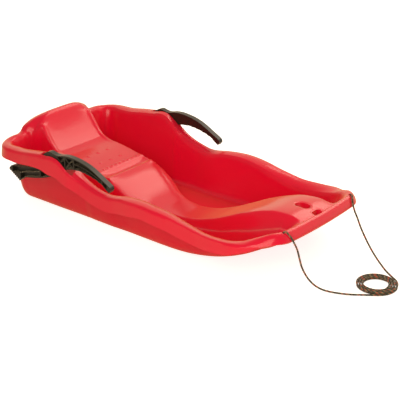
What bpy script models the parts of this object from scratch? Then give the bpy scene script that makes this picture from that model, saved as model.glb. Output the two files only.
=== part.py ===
# One-person moulded plastic bob sled with two claw brakes and a pull rope.
# Metres, +X forward, +Y to the sled's left, +Z up. The origin is on the ground below the hull's centre.
import math

import bmesh
import bpy
import numpy as np
from mathutils import Matrix, Vector
from mathutils.bvhtree import BVHTree

# Hull: overall sizes and wall
HULL_LENGTH = 0.970
HULL_WIDTH = 0.490
HULL_HEIGHT = 0.2215
WALL = 0.003
SKIRT_FLARE = 0.003
FRONT_SKIRT_TUCK = 0.004

# Hull: plan of the rim and of the tray's floor
REAR_CORNER_RADIUS = 0.068
FRONT_CORNER_LENGTH = 0.125
FRONT_CORNER_WIDTH = 0.092
FRONT_CORNER_POWER = 1.7
FRONT_BOW = 0.016
FLOOR_HALF_WIDTH = 0.155
FLOOR_REAR_GAP = 0.048
FLOOR_FRONT_GAP = 0.072
FLOOR_REAR_RADIUS = 0.045
FLOOR_FRONT_RADIUS = 0.060

# Hull: rim section and toe
RIM_CROWN = 0.0015
RIM_EDGE_DROP = 0.003
RIM_EDGE_SHARE = 0.17
REAR_RIM_RISE = 0.004
REAR_RISE_ALONG = (0.030, 0.090)
REAR_RISE_ACROSS = (0.155, 0.215)
FRONT_ROLL = 0.018
FRONT_SKIRT_DROP = 0.011
REBATE_DEPTH = 0.006
TOE_START = 0.600
TOE_CURVE = 1.05

# Lines of the hull. Each is drawn from the rear end forward and stretches to the hull's length.
# Heights stretch to the hull's height, which is the top of the backrest.
RIM_LINE = (
    (0.000, 0.165), (0.091, 0.167), (0.158, 0.176), (0.200, 0.182), (0.238, 0.190), (0.258, 0.188), (0.285, 0.173),
    (0.300, 0.161), (0.348, 0.1375), (0.386, 0.125), (0.433, 0.117), (0.490, 0.1245), (0.557, 0.129), (0.623, 0.125),
    (0.690, 0.115), (0.766, 0.107), (0.832, 0.110), (0.874, 0.116), (0.900, 0.125), (0.925, 0.134), (0.945, 0.140),
    (0.970, 0.142),
)
SIDE_LINE = (
    (0.000, 0.003), (0.120, 0.002), (0.163, 0.000), (0.230, 0.001), (0.293, 0.004), (0.340, 0.014), (0.380, 0.015),
    (0.450, 0.015), (0.520, 0.009), (0.580, 0.007), (0.665, 0.013), (0.730, 0.014), (0.800, 0.010), (0.970, 0.011),
)
SKIRT_LINE = (
    (0.000, 0.030), (0.060, 0.030), (0.120, 0.034), (0.158, 0.035), (0.198, 0.040), (0.237, 0.057), (0.275, 0.056),
    (0.312, 0.045), (0.350, 0.044), (0.386, 0.043), (0.430, 0.041), (0.500, 0.039), (0.564, 0.034), (0.624, 0.037),
    (0.698, 0.038), (0.763, 0.036), (0.826, 0.032), (0.887, 0.018), (0.930, 0.012), (0.970, 0.016),
)
RIM_WIDTHS = (
    (0.000, 0.025), (0.030, 0.026), (0.068, 0.037), (0.300, 0.037), (0.335, 0.027), (0.390, 0.026), (0.430, 0.031),
    (0.490, 0.035), (0.560, 0.037), (0.850, 0.037), (0.940, 0.021), (0.970, 0.020),
)
RIM_BANKS = (
    (0.000, 0.0), (0.300, 0.0), (0.340, 0.005), (0.390, 0.005), (0.440, 0.004), (0.520, 0.0), (0.600, 0.002),
    (0.683, 0.007), (0.753, 0.011), (0.810, 0.011), (0.845, 0.009), (0.880, 0.006), (0.930, 0.0), (0.970, 0.0),
)
REBATE_LINE = ((0.000, 0.0), (0.195, 0.0), (0.225, 1.0), (0.355, 1.0), (0.450, 0.0), (0.970, 0.0))
SPINE_LINE = (
    (0.000, 0.1990), (0.004, 0.2045), (0.010, 0.2085), (0.020, 0.2140), (0.032, 0.2200), (0.040, 0.2215),
    (0.046, 0.2170), (0.053, 0.2040), (0.062, 0.1870), (0.078, 0.1610), (0.098, 0.1350), (0.115, 0.1210),
    (0.145, 0.1135), (0.185, 0.1115), (0.233, 0.1055), (0.262, 0.1006), (0.271, 0.0985), (0.279, 0.0905),
    (0.287, 0.0862), (0.296, 0.0872), (0.304, 0.0920), (0.311, 0.0957), (0.321, 0.0930), (0.345, 0.0830),
    (0.365, 0.0715), (0.395, 0.0550), (0.435, 0.0400), (0.475, 0.0315), (0.525, 0.0290), (0.575, 0.0350),
    (0.645, 0.0570), (0.705, 0.0850), (0.765, 0.1150), (0.825, 0.1390), (0.865, 0.1490), (0.900, 0.1515),
    (0.940, 0.1450), (0.952, 0.1390), (0.970, 0.1150),
)
SPINE_HALF_WIDTHS = (
    (0.000, 0.132), (0.022, 0.130), (0.040, 0.125), (0.050, 0.118), (0.062, 0.108), (0.098, 0.106), (0.225, 0.102),
    (0.310, 0.099), (0.335, 0.104), (0.375, 0.103), (0.398, 0.097), (0.418, 0.086), (0.446, 0.071), (0.475, 0.061),
    (0.510, 0.055), (0.555, 0.054), (0.615, 0.057), (0.665, 0.062), (0.705, 0.067), (0.750, 0.072), (0.790, 0.078),
    (0.840, 0.082), (0.875, 0.084), (0.970, 0.088),
)
SPINE_EDGE_LIFTS = (
    (0.000, -0.024), (0.020, -0.034), (0.032, -0.060), (0.040, -0.072), (0.048, -0.050), (0.060, -0.003),
    (0.078, 0.005), (0.098, 0.006), (0.145, 0.003), (0.225, 0.001), (0.262, 0.001), (0.288, 0.016),
    (0.310, 0.000), (0.335, -0.010), (0.390, -0.011), (0.475, -0.002), (0.725, -0.003), (0.825, -0.009),
    (0.970, -0.006),
)
SPINE_EDGE_ROLLS = (
    (0.000, 0.014), (0.050, 0.014), (0.078, 0.010), (0.525, 0.010), (0.705, 0.011), (0.785, 0.014),
    (0.825, 0.018), (0.970, 0.022),
)
SPINE_EDGE_POWER = 4
SPINE_FADE = 1.2

# Hull: mesh rows from the rear of the floor to its front, and rings from the rim to the floor
ROW_STRETCHES = ((0.120, 5), (0.271, 6), (0.319, 6), (0.585, 9), (0.898, 10))
RIM_STEPS = (0.0, 0.07, 0.17, 0.22, 0.50, 0.85, 1.0)
REBATED_SHARE = 0.2
WALL_STEPS = ((0.07, 0.035), (0.16, 0.14), (0.30, 0.50), (0.46, 0.84), (0.60, 0.95), (0.78, 0.99), (1.0, 1.0))

# Deck slots and rope holes
LONG_SLOT = (0.043, 0.027)
LONG_SLOT_FROM_FRONT = 0.071
CROSS_SLOT = (0.0150, 0.032)
CROSS_SLOT_FROM_FRONT = 0.0275
ROPE_HOLE_DIAMETER = 0.009
ROPE_HOLE_FROM_SIDE = 0.0985
ROPE_HOLE_FROM_FRONT = 0.024
ROPE_HOLE_LEAN = 25.0
ROPE_HOLE_REACH = 0.008

# Brake levers, each given from its pivot in the plane of the lever: along X, along Z
PIVOT_FROM_REAR = 0.238
PIVOT_BELOW_RIM = 0.037
LEVER_THICKNESS = 0.0155
LEVER_TO_SKIRT = 0.001
LEVER_WEB = 0.004
LEVER_WALL = 0.0030
LEVER_RIB = 0.0024
SLOT_BEHIND_PIVOT = 0.040
SLOT_AHEAD_OF_PIVOT = 0.076
HANDLE_LEAVES_SLOT = 0.057
SLOT_TO_LEVER = 0.0015
LEVER_TOP = (
    (0.2185, -0.0080), (0.2155, -0.0005), (0.204, 0.0065), (0.187, 0.0150), (0.164, 0.0270), (0.140, 0.0370),
    (0.115, 0.0435), (0.090, 0.0470), (0.068, 0.0480), (0.048, 0.0460), (0.036, 0.0430), (0.025, 0.0410),
    (0.014, 0.0413), (0.004, 0.0436), (-0.005, 0.0448), (-0.015, 0.0418), (-0.029, 0.0320), (-0.043, 0.0120),
    (-0.060, -0.0110), (-0.088, -0.0215), (-0.123, -0.0275), (-0.150, -0.0305), (-0.166, -0.0360),
    (-0.1755, -0.0485),
)
LEVER_UNDER = (
    (0.2130, -0.0165), (0.204, -0.0115), (0.192, -0.0035), (0.177, 0.0035), (0.157, 0.0095), (0.134, 0.0140),
    (0.112, 0.0160), (0.090, 0.0160), (0.070, 0.0125), (0.050, 0.0060), (0.034, -0.0035), (0.017, -0.0140),
    (0.000, -0.0240), (-0.020, -0.0335), (-0.043, -0.0412), (-0.073, -0.0492), (-0.106, -0.0565),
    (-0.122, -0.0645), (-0.1340, -0.0735),
)
FINGER_SCALLOPS = 5
FINGER_SCALLOP_DEPTH = 0.0018
FINGER_REACH = (0.098, 0.196)
CLAW_TEETH = 7
CLAW_TOOTH_DEPTH = 0.0035
POCKET_STEP = 0.014
LATTICE_RIB_SHARE = 0.22
# Recesses: from and to along X, and the shares of the lever's height between which each lies
BAND_POCKETS = (
    ((0.088, 0.186), 0.0, 0.5), ((0.088, 0.186), 0.5, 1.0), ((0.190, 0.205), 0.0, 1.0),
    ((-0.045, -0.022), 0.0, 0.5), ((-0.045, -0.022), 0.5, 1.0),
    ((-0.128, -0.050), 0.0, 0.5), ((-0.160, -0.050), 0.5, 1.0),
)
LATTICE_BAYS = ((0.020, 0.051), (0.053, 0.084))

# Pivot pins, the bosses that carry them and their push-on clips
PIN_DIAMETER = 0.006
BOSS_DIAMETER = 0.016
BOSS_TO_LEVER = 0.0005
PIN_SOCKET_DEPTH = 0.012
HUB_DIAMETER = 0.017
HUB_RECESS = 0.005
CLIP_DIAMETER = 0.012
CLIP_THICKNESS = 0.001
PIN_PAST_CLIP = 0.001
FIT_GAP = 0.0003

# Pull rope. Each run is a list of points chosen by hand, from its hole down to the coil. DRAWN_HOLE is
# the left hole's place that they were drawn for: a run follows its hole, and stays put on the ground.
ROPE_DIAMETER = 0.005
KNOT_DIAMETER = 0.012
DRAWN_HOLE = (0.461, 0.1465, 0.1395)
RIGHT_RUN = (
    (0.4638, -0.1465, 0.1436), (0.4667, -0.1463, 0.1442), (0.4703, -0.1454, 0.1427), (0.4741, -0.1439, 0.1391),
    (0.4781, -0.1416, 0.1331), (0.4827, -0.1390, 0.1247), (0.4885, -0.1363, 0.1130), (0.4930, -0.1341, 0.1020),
    (0.4960, -0.1325, 0.0910), (0.4997, -0.1301, 0.0735), (0.5045, -0.1263, 0.0525), (0.5150, -0.1195, 0.0285),
    (0.5300, -0.1145, 0.0125), (0.5490, -0.1110, 0.0045), (0.5720, -0.1070, 0.0028), (0.5970, -0.0985, 0.0028),
    (0.6230, -0.0850, 0.0028),
)
LEFT_RUN = (
    (0.4638, 0.1462, 0.1436), (0.4672, 0.1443, 0.1443), (0.4711, 0.1404, 0.1430), (0.4754, 0.1353, 0.1386),
    (0.4803, 0.1304, 0.1304), (0.4860, 0.1264, 0.1202), (0.4925, 0.1247, 0.1085), (0.5000, 0.1240, 0.0965),
    (0.5150, 0.1206, 0.0726), (0.5340, 0.1165, 0.0485), (0.5550, 0.1090, 0.0297), (0.5770, 0.0975, 0.0185),
    (0.5980, 0.0840, 0.0130), (0.6180, 0.0700, 0.0102), (0.6370, 0.0575, 0.0088),
)
COIL_CENTRE = (0.643, -0.006)
COIL_WHOLE_TURNS = 6
COIL_START_HEADING = 37.3
COIL_END_HEADING = 150.3
COIL_OUTER_RADIUS = 0.0515
COIL_PITCH = 0.0066
COIL_LAYER_RISE = 0.0056
COIL_POINTS_PER_TURN = 24
ROPE_POINT_SPACING = 2.4 * ROPE_DIAMETER

RED = (0.760, 0.030, 0.030)
BLACK = (0.030, 0.030, 0.028)
STEEL = (0.560, 0.560, 0.570)
ROPE_GREEN = (0.075, 0.080, 0.035)

REAR = -HULL_LENGTH / 2
FRONT = HULL_LENGTH / 2
UP_STRETCH = HULL_HEIGHT / max(height for _, height in SPINE_LINE)


def through(stations, at):
    """Smooth curve through hand-chosen stations that never overshoots between them."""
    place, value = np.array(stations, dtype=float).T
    at = np.clip(np.asarray(at, dtype=float), place[0], place[-1])
    step = np.diff(place)
    rise = np.diff(value) / step
    slope = np.zeros(len(place))
    slope[0], slope[-1] = rise[0], rise[-1]
    same_way = rise[:-1] * rise[1:] > 0
    total = np.where(same_way, rise[:-1] + rise[1:], 1.0)
    slope[1:-1] = np.where(same_way, 2 * rise[:-1] * rise[1:] / total, 0.0)
    i = np.clip(np.searchsorted(place, at, side="right") - 1, 0, len(step) - 1)
    t = (at - place[i]) / step[i]
    return (value[i] * (1 + 2 * t) * (1 - t) ** 2 + slope[i] * step[i] * t * (1 - t) ** 2
            + value[i + 1] * t * t * (3 - 2 * t) - slope[i + 1] * step[i] * t * t * (1 - t))


def hull_line(stations, x):
    """Value of one of the hull's lines at x, with the line stretched to the hull's length."""
    drawn_length = stations[-1][0]
    return through(stations, (np.asarray(x, dtype=float) - REAR) * drawn_length / HULL_LENGTH)


def smooth_step(value, low, high):
    t = np.clip((value - low) / (high - low), 0.0, 1.0)
    return t * t * (3 - 2 * t)


def side_width(x):
    """Half width of the rim's outer edge at x, before the corners are rounded."""
    return HULL_WIDTH / 2 - SKIRT_FLARE - hull_line(SIDE_LINE, x)


def floor_width(x):
    return np.full(np.shape(x), FLOOR_HALF_WIDTH)


class Loop:
    """Half of a closed outline round the tray: its rear end, its side and its front end, corners rounded."""

    def __init__(self, rear, front, width, rear_radius, front_length, front_width, power):
        self.rear = rear
        self.front = front
        self.width = width
        self.rear_radius = rear_radius
        self.front_length = front_length
        self.front_width = front_width
        self.power = power
        rear_width = float(width(rear + rear_radius))
        self.rear_start = rear_width - rear_radius
        self.front_start = float(width(front - front_length)) - front_width
        share = 1 - math.sqrt(0.5)
        self.rear_corner = (rear + rear_radius * share, rear_width - rear_radius * share)
        share = 0.5 ** (1 / power)
        self.front_corner = (front - front_length * (1 - share), self.front_start + front_width * share)

    def rear_x(self, y):
        across = np.clip(np.asarray(y) - self.rear_start, 0.0, self.rear_radius)
        return self.rear + self.rear_radius - np.sqrt(self.rear_radius ** 2 - across ** 2)

    def front_x(self, y):
        across = np.clip((np.asarray(y) - self.front_start) / self.front_width, 0.0, 1.0)
        return self.front - self.front_length * (1 - (1 - across ** self.power) ** (1 / self.power))

    def side_y(self, x):
        behind = np.clip(self.rear + self.rear_radius - x, 0.0, self.rear_radius)
        ahead = np.clip((x - self.front + self.front_length) / self.front_length, 0.0, 1.0)
        rounded = (1 - ahead ** self.power) ** (1 / self.power)
        return (self.width(x) - self.rear_radius + np.sqrt(self.rear_radius ** 2 - behind ** 2)
                - self.front_width * (1 - rounded))


def bowed(x, y):
    """The front end bows forward in the middle: its corners stand back by FRONT_BOW."""
    share = np.clip((np.asarray(x) - FRONT + 2 * FRONT_CORNER_LENGTH) / (2 * FRONT_CORNER_LENGTH), 0.0, 1.0)
    return x - FRONT_BOW * share * (np.asarray(y) / (HULL_WIDTH / 2)) ** 2


RIM_LOOP = Loop(REAR + SKIRT_FLARE, FRONT, side_width, REAR_CORNER_RADIUS,
                FRONT_CORNER_LENGTH, FRONT_CORNER_WIDTH, FRONT_CORNER_POWER)
FLOOR_LOOP = Loop(REAR + FLOOR_REAR_GAP, FRONT - FLOOR_FRONT_GAP, floor_width, FLOOR_REAR_RADIUS,
                  FLOOR_FRONT_RADIUS, FLOOR_FRONT_RADIUS, FRONT_CORNER_POWER)


def column_places(x, outer):
    """Distances from the middle plane at x: across the block's top, down its side, and out to outer."""
    half = float(hull_line(SPINE_HALF_WIDTHS, x))
    roll = float(hull_line(SPINE_EDGE_ROLLS, x))
    inner = half - roll
    top = [inner * share for share in (0.0, 0.27, 0.54, 0.80, 1.0)]
    side = [inner + (1 + SPINE_FADE) * roll * share for share in (0.25, 0.45, 0.65, 0.85, 1.05)]
    left = outer - side[-1]
    return np.array(top + side + [side[-1] + left * share for share in (0.36, 0.66, 0.86, 1.0)])


def spine_top(x, y):
    """Height of the backrest, seat, tunnel and deck at a point, and how much of it counts there."""
    half = hull_line(SPINE_HALF_WIDTHS, x)
    roll = hull_line(SPINE_EDGE_ROLLS, x)
    across = np.minimum(np.abs(y) / half, 1.0)
    height = (hull_line(SPINE_LINE, x) + hull_line(SPINE_EDGE_LIFTS, x) * across ** SPINE_EDGE_POWER) * UP_STRETCH
    return height, 1 - smooth_step(np.abs(y), half - roll, half + SPINE_FADE * roll)


def with_spine(x, y, tray):
    height, weight = spine_top(x, y)
    return tray + np.maximum(height - tray, 0.0) * weight


def floor_height(x):
    """Top of the tray's floor: level, then the toe curves up to the front rim."""
    return WALL + TOE_CURVE * np.maximum(0.0, np.asarray(x) - REAR - TOE_START) ** 2


def rim_height(x, y):
    """Height of the rim's inner edge: it rises beside the backrest."""
    at_rear = 1 - smooth_step(x, REAR + REAR_RISE_ALONG[0], REAR + REAR_RISE_ALONG[1])
    beside = 1 - smooth_step(np.abs(y), *REAR_RISE_ACROSS)
    return hull_line(RIM_LINE, x) * UP_STRETCH + REAR_RIM_RISE * at_rear * beside


def hull_rows():
    """Places of the floor's mesh rows on the middle line, drawn from the rear."""
    places = [FLOOR_LOOP.rear]
    for reach, count in ROW_STRETCHES:
        end = REAR + reach * HULL_LENGTH / SPINE_LINE[-1][0]
        places += list(np.linspace(places[-1], end, count + 1)[1:])
    places[-1] = FLOOR_LOOP.front
    return np.array(places)


def half_loop(loop, rows):
    """Points of a loop from the rear middle round one side to the front middle."""
    rear_y = column_places(loop.rear, loop.rear_corner[1])
    front_y = column_places(loop.front, loop.front_corner[1])
    share = (rows - rows[0]) / (rows[-1] - rows[0])
    side_x = loop.rear_corner[0] + share * (loop.front_corner[0] - loop.rear_corner[0])
    rear = np.column_stack((loop.rear_x(rear_y), rear_y))
    side = np.column_stack((side_x, loop.side_y(side_x)))
    front = np.column_stack((loop.front_x(front_y), front_y))[::-1]
    points = np.vstack((rear, side[1:-1], front))
    points[:, 0] = bowed(points[:, 0], points[:, 1])
    return points


def hull_rings(rows):
    """Rings from the skirt's lower edge over the rim and down the wall to the floor, on the left half."""
    outer = half_loop(RIM_LOOP, rows)
    inner = half_loop(FLOOR_LOOP, rows)
    span = np.linalg.norm(inner - outer, axis=1)
    inward = (inner - outer) / span[:, None]
    x, y = outer.T
    to_front = smooth_step(x, FRONT - FRONT_CORNER_LENGTH, FRONT - 0.2 * FRONT_CORNER_LENGTH)
    width = hull_line(RIM_WIDTHS, x)
    bank = hull_line(RIM_BANKS, x)
    height = rim_height(x, y)
    rebate = REBATE_DEPTH * hull_line(REBATE_LINE, x)
    rings = []
    for step in RIM_STEPS:
        place = outer + inward * (width * step)[:, None]
        drop = RIM_EDGE_DROP * (1 - min(step / RIM_EDGE_SHARE, 1.0)) ** 2 + bank * step
        drop += FRONT_ROLL * to_front * (1 - step) ** 1.5
        crown = RIM_CROWN * math.sin(math.pi * step)
        tray = height + crown - drop - rebate * (1.0 if step < REBATED_SHARE else 0.0)
        rings.append(np.column_stack((place, with_spine(place[:, 0], place[:, 1], tray))))
    crease = rings[0]
    lower = height - hull_line(SKIRT_LINE, x) * UP_STRETCH - FRONT_SKIRT_DROP * to_front
    flare = SKIRT_FLARE - (SKIRT_FLARE + FRONT_SKIRT_TUCK) * to_front
    skirt = []
    for share in (1.0, 0.4):
        place = outer - inward * (flare * share)[:, None]
        skirt.append(np.column_stack((place, crease[:, 2] + (lower - crease[:, 2]) * share)))
    wall = []
    for along, down in WALL_STEPS:
        place = outer + inward * (width + (span - width) * along)[:, None]
        tray = height - bank + (floor_height(inner[:, 0]) - height + bank) * down
        wall.append(np.column_stack((place, with_spine(place[:, 0], place[:, 1], tray))))
    return skirt + rings + wall


def hull_floor(rows):
    """Grid of the floor inside the last ring: rows along X, columns from the middle to the left side."""
    last = len(rows) - 1
    edge = half_loop(FLOOR_LOOP, rows)
    columns = len(column_places(0.0, 1.0))
    rear_edge, front_edge = edge[:columns], edge[-columns:][::-1]
    side = np.vstack((rear_edge[-1:], edge[columns:columns + last - 1], front_edge[-1:]))
    rear_bend = (rear_edge[:, 0] - rear_edge[0, 0]) / (rear_edge[-1, 0] - rear_edge[0, 0])
    front_bend = (front_edge[:, 0] - front_edge[0, 0]) / (front_edge[-1, 0] - front_edge[0, 0])
    grid = np.zeros((last + 1, columns, 3))
    for i, middle in enumerate(rows):
        share = i / last
        bend = rear_bend * (1 - share) + front_bend * share
        x = middle + (side[i, 0] - middle) * bend
        y = column_places(middle, side[i, 1])
        if i in (0, last):
            x, y = (rear_edge if i == 0 else front_edge).T
        grid[i] = np.column_stack((x, y, with_spine(x, y, floor_height(x))))
    return grid


def whole_loop(half):
    """A half loop, from the rear middle to the front middle, joined to its mirror image."""
    other = half[-2:0:-1] * np.array((1, -1, 1))
    return np.vstack((half, other))


def hull_sheet():
    """The hull's upper surface as one sheet: rings round the tray and a grid for its floor."""
    rows = hull_rows()
    rings = [whole_loop(ring) for ring in hull_rings(rows)]
    grid = hull_floor(rows)
    mesh = bmesh.new()
    loops = [[mesh.verts.new(point) for point in ring] for ring in rings]
    count = len(loops[0])
    for outer, inner in zip(loops, loops[1:]):
        for j in range(count):
            k = (j + 1) % count
            mesh.faces.new((outer[j], outer[k], inner[k], inner[j]))
    last_row, columns = grid.shape[0] - 1, grid.shape[1]
    edge = loops[-1]
    half_count = columns + (last_row - 1) + columns

    def on_edge(i, c):
        """Index along the last ring of the floor's border vertex at row i, signed column c."""
        if i == 0:
            index = abs(c)
        elif i == last_row:
            index = half_count - 1 - abs(c)
        else:
            index = columns - 1 + i
        return index if c >= 0 else (count - index) % count

    cells = {}
    for i in range(last_row + 1):
        for c in range(1 - columns, columns):
            if i in (0, last_row) or abs(c) == columns - 1:
                cells[i, c] = edge[on_edge(i, c)]
            else:
                x, y, z = grid[i, abs(c)]
                cells[i, c] = mesh.verts.new((x, math.copysign(y, c), z))
    for i in range(last_row):
        for c in range(1 - columns, columns - 1):
            mesh.faces.new((cells[i, c], cells[i + 1, c], cells[i + 1, c + 1], cells[i, c + 1]))
    bmesh.ops.recalc_face_normals(mesh, faces=mesh.faces)
    middle = min(mesh.faces, key=lambda face: face.calc_center_median().xy.length)
    if middle.normal.z < 0:
        bmesh.ops.reverse_faces(mesh, faces=mesh.faces)
    data = bpy.data.meshes.new("hull")
    mesh.to_mesh(data)
    mesh.free()
    return data


def finish(name, colour, roughness, metallic=0.0):
    material = bpy.data.materials.new(name)
    material.use_nodes = True
    shader = material.node_tree.nodes["Principled BSDF"]
    shader.inputs["Base Color"].default_value = (*colour, 1.0)
    shader.inputs["Roughness"].default_value = roughness
    shader.inputs["Metallic"].default_value = metallic
    return material


def new_object(name, data, material=None):
    obj = bpy.data.objects.new(name, data)
    bpy.context.scene.collection.objects.link(obj)
    if material is not None:
        data.materials.append(material)
    return obj


def mesh_data(name, mesh):
    bmesh.ops.recalc_face_normals(mesh, faces=mesh.faces)
    data = bpy.data.meshes.new(name)
    mesh.to_mesh(data)
    mesh.free()
    return data


def add_prism(mesh, outline, low, high, place):
    """Add a closed prism: an outline of (a, b) points, extruded from low to high along the third axis."""
    bottom = [mesh.verts.new(place(a, b, low)) for a, b in outline]
    top = [mesh.verts.new(place(a, b, high)) for a, b in outline]
    mesh.faces.new(bottom)
    mesh.faces.new(top)
    for i in range(len(outline)):
        k = (i + 1) % len(outline)
        mesh.faces.new((bottom[i], bottom[k], top[k], top[i]))


def add_ring(mesh, outer, inner, low, high, place):
    """Add a closed ring between two outlines of equally many (a, b) points, from low to high."""
    rows = [[mesh.verts.new(place(a, b, level)) for a, b in outline]
            for outline, level in ((outer, low), (outer, high), (inner, high), (inner, low))]
    for first, second in zip(rows, rows[1:] + rows[:1]):
        for i in range(len(outer)):
            k = (i + 1) % len(outer)
            mesh.faces.new((first[i], first[k], second[k], second[i]))


def upright(a, b, c):
    return Vector((a, b, c))


def sideways(side):
    """Placing of an outline in the X-Z plane, extruded along Y on one side of the sled."""
    return lambda a, b, c: Vector((a, side * c, b))


def circle(radius, count, centre=(0.0, 0.0)):
    return [(centre[0] + radius * math.cos(2 * math.pi * k / count),
             centre[1] + radius * math.sin(2 * math.pi * k / count)) for k in range(count)]


def stadium(size, corner_points=6):
    """Outline of a slot with round ends, its size along X and along Y."""
    long_way, short_way = max(size), min(size)
    radius, reach = short_way / 2, (long_way - short_way) / 2
    points = []
    for end in (1, -1):
        for k in range(corner_points + 1):
            angle = -math.pi / 2 + math.pi * k / corner_points
            a, b = end * (reach + radius * math.cos(angle)), end * radius * math.sin(angle)
            points.append((a, b) if size[0] >= size[1] else (-b, a))
    return points


def boolean(obj, tool, operation):
    tool.hide_render = True
    tool.display_type = "WIRE"
    modifier = obj.modifiers.new(tool.name, "BOOLEAN")
    modifier.operation = operation
    modifier.object = tool
    modifier.solver = "EXACT"


# Places that the hull, the levers, the pins and the rope share
PIVOT_X = REAR + PIVOT_FROM_REAR
PIVOT_Z = float(rim_height(PIVOT_X, side_width(PIVOT_X))) - PIVOT_BELOW_RIM
LEVER_OUTSIDE = float(side_width(PIVOT_X + HANDLE_LEAVES_SLOT)) - WALL - LEVER_TO_SKIRT
LEVER_INSIDE = LEVER_OUTSIDE - LEVER_THICKNESS
BOSS_END = LEVER_INSIDE - BOSS_TO_LEVER
HUB_FACE = LEVER_OUTSIDE - HUB_RECESS
CLIP_INNER_FACE = HUB_FACE + FIT_GAP
PIN_END = CLIP_INNER_FACE + CLIP_THICKNESS + PIN_PAST_CLIP
HOLE_TURN = Matrix.Rotation(math.radians(ROPE_HOLE_LEAN), 3, "Y")
HOLE_AXIS = HOLE_TURN @ Vector((0.0, 0.0, 1.0))


def surface_at(tree, start, direction):
    """Point where a line from start first meets the hull's upper surface."""
    return tree.ray_cast(Vector(start), Vector(direction))[0]


def slot_outline():
    """Plan of a lever slot: straight on the inside, along the skirt on the outside."""
    ends = (PIVOT_X - SLOT_BEHIND_PIVOT, PIVOT_X + SLOT_AHEAD_OF_PIVOT)
    inside = LEVER_INSIDE - SLOT_TO_LEVER
    places = np.linspace(*ends, 7)
    outside = np.minimum(side_width(places) - WALL + FIT_GAP, LEVER_OUTSIDE + SLOT_TO_LEVER)
    return [(ends[0], inside)] + list(zip(places, outside)) + [(ends[1], inside)]


def cut_openings(hull, holes):
    """Lever slots in the rim, rope holes in the front lip and two slots in the deck."""
    cuts = bmesh.new()
    slot_floor = PIVOT_Z - BOSS_DIAMETER / 4
    for side, hole in holes.items():
        outline = [(a, side * b) for a, b in slot_outline()]
        add_prism(cuts, outline, slot_floor, HULL_HEIGHT, upright)
        add_prism(cuts, circle(ROPE_HOLE_DIAMETER / 2, 16), -ROPE_HOLE_REACH, ROPE_HOLE_REACH,
                  lambda a, b, c, centre=hole: centre + HOLE_TURN @ Vector((a, b, c)))
    for size, from_front in ((LONG_SLOT, LONG_SLOT_FROM_FRONT), (CROSS_SLOT, CROSS_SLOT_FROM_FRONT)):
        outline = [(FRONT - from_front + a, b) for a, b in stadium(size)]
        add_prism(cuts, outline, HULL_HEIGHT / 2, HULL_HEIGHT, upright)
    boolean(hull, new_object("hull_cuts", mesh_data("hull_cuts", cuts)), "DIFFERENCE")


def add_bosses(hull, tree):
    """Round bosses from the middle of the tray's wall to the levers, with a blind socket for each pin."""
    bosses = bmesh.new()
    sockets = bmesh.new()
    for side in (1, -1):
        outline = circle(BOSS_DIAMETER / 2, 20, (PIVOT_X, PIVOT_Z))
        start = [surface_at(tree, (a, side * LEVER_INSIDE, b), (0, -side, 0)).y + side * WALL / 2
                 for a, b in outline]
        inner = [bosses.verts.new((a, y, b)) for (a, b), y in zip(outline, start)]
        outer = [bosses.verts.new((a, side * BOSS_END, b)) for a, b in outline]
        middle = bosses.verts.new((PIVOT_X, sum(start) / len(start), PIVOT_Z))
        bosses.faces.new(outer)
        for i in range(len(outline)):
            k = (i + 1) % len(outline)
            bosses.faces.new((inner[i], inner[k], outer[k], outer[i]))
            bosses.faces.new((inner[i], middle, inner[k]))
        socket = circle(PIN_DIAMETER / 2 + FIT_GAP, 16, (PIVOT_X, PIVOT_Z))
        add_prism(sockets, socket, BOSS_END - PIN_SOCKET_DEPTH, BOSS_END + FIT_GAP, sideways(side))
    boolean(hull, new_object("hull_bosses", mesh_data("hull_bosses", bosses)), "UNION")
    boolean(hull, new_object("hull_sockets", mesh_data("hull_sockets", sockets)), "DIFFERENCE")


def smooth_chain(points, pieces=2):
    """Points on a smooth curve through a chain of points, each stretch in equal pieces."""
    p = np.array(points, dtype=float)
    ends = np.vstack((2 * p[0] - p[1], p, 2 * p[-1] - p[-2]))
    chain = []
    for i in range(1, len(ends) - 2):
        a, b, c, d = ends[i - 1:i + 3]
        for k in range(pieces):
            t = k / pieces
            chain.append(0.5 * (2 * b + (c - a) * t + (2 * a - 5 * b + 4 * c - d) * t * t
                                + (3 * b - a - 3 * c + d) * t ** 3))
    return np.array(chain + [p[-1]])


def lever_lines():
    """The lever's top line from handle tip to claw, and its underside with the finger scallops."""
    top = smooth_chain(LEVER_TOP)
    under = smooth_chain(LEVER_UNDER, 3)
    share = (under[:, 0] - FINGER_REACH[0]) / (FINGER_REACH[1] - FINGER_REACH[0])
    wave = np.where((share > 0) & (share < 1), np.abs(np.sin(math.pi * FINGER_SCALLOPS * share)), 0.0)
    under[:, 1] += FINGER_SCALLOP_DEPTH * wave
    return top, under


def lever_outline(top, under):
    start, end = top[-1], under[-1]
    along = end - start
    inward = np.array((-along[1], along[0])) / np.linalg.norm(along)
    teeth = []
    for tooth in range(CLAW_TEETH):
        for share, depth in ((0.30, CLAW_TOOTH_DEPTH), (0.85, 0.0)):
            teeth.append(start + along * (tooth + share) / CLAW_TEETH + inward * depth)
    return list(top) + teeth + list(under[::-1])


def band_pocket(top, under, reach, low, high):
    """Outline of a recess between two shares of the lever's height, inside its walls."""
    places = np.linspace(*reach, max(2, int(round((reach[1] - reach[0]) / POCKET_STEP)) + 1))
    upper = np.interp(places, top[::-1, 0], top[::-1, 1]) - LEVER_WALL
    lower = np.interp(places, under[::-1, 0], under[::-1, 1]) + LEVER_WALL
    height = upper - lower
    high_line = lower + height * high - (LEVER_RIB / 2 if high < 1 else 0)
    low_line = lower + height * low + (LEVER_RIB / 2 if low > 0 else 0)
    return list(zip(places, low_line)) + list(zip(places[::-1], high_line[::-1]))


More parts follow.
